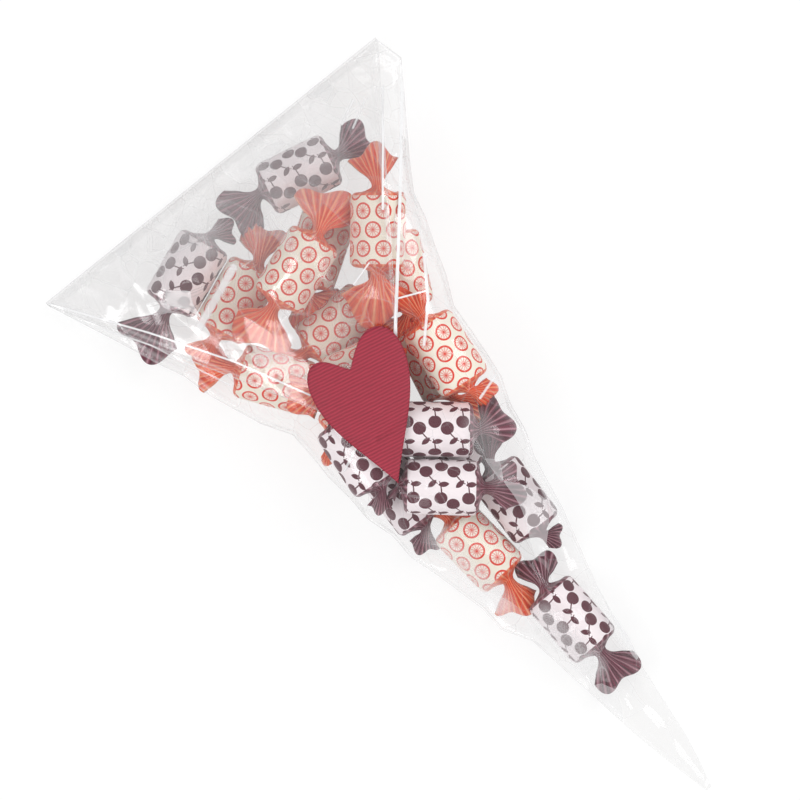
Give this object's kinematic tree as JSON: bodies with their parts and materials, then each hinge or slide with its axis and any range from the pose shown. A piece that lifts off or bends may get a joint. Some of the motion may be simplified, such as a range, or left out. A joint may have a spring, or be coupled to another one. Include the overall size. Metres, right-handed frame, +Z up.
{
  "type": "cellophane cone bag",
  "caption": "Clear film cone bag of twist-wrapped sweets, lying flat, its wide end folded over the front and held by a dark red paper heart.",
  "frame": {"origin": "on the table, under the middle of the bag's outline", "axes": "+Z up from the table, +Y from the cone's tip to its folded wide end, X across the bag"},
  "size_m": [0.1608, 0.2962, 0.0463],
  "materials": {
    "film": "clear glossy film",
    "heart_paper": "matt ribbed paper",
    "cherry_wrapper": "satin waxed paper, dark purple at the twisted ends",
    "orange_wrapper": "satin waxed paper, orange red at the twisted ends"
  },
  "bodies": {
    "root": {"cherry_sweet_01": "cherry_wrapper", "cherry_sweet_03": "cherry_wrapper", "cherry_sweet_04": "cherry_wrapper", "cherry_sweet_05": "cherry_wrapper", "cherry_sweet_13": "cherry_wrapper", "cherry_sweet_14": "cherry_wrapper", "cherry_sweet_19": "cherry_wrapper", "cherry_sweet_20": "cherry_wrapper", "cherry_sweet_21": "cherry_wrapper", "cone_film": "film", "heart_seal": "heart_paper", "orange_sweet_02": "orange_wrapper", "orange_sweet_06": "orange_wrapper", "orange_sweet_07": "orange_wrapper", "orange_sweet_08": "orange_wrapper", "orange_sweet_09": "orange_wrapper", "orange_sweet_10": "orange_wrapper", "orange_sweet_11": "orange_wrapper", "orange_sweet_12": "orange_wrapper", "orange_sweet_15": "orange_wrapper", "orange_sweet_16": "orange_wrapper", "orange_sweet_17": "orange_wrapper", "orange_sweet_18": "orange_wrapper"}
  },
  "joints": []
}
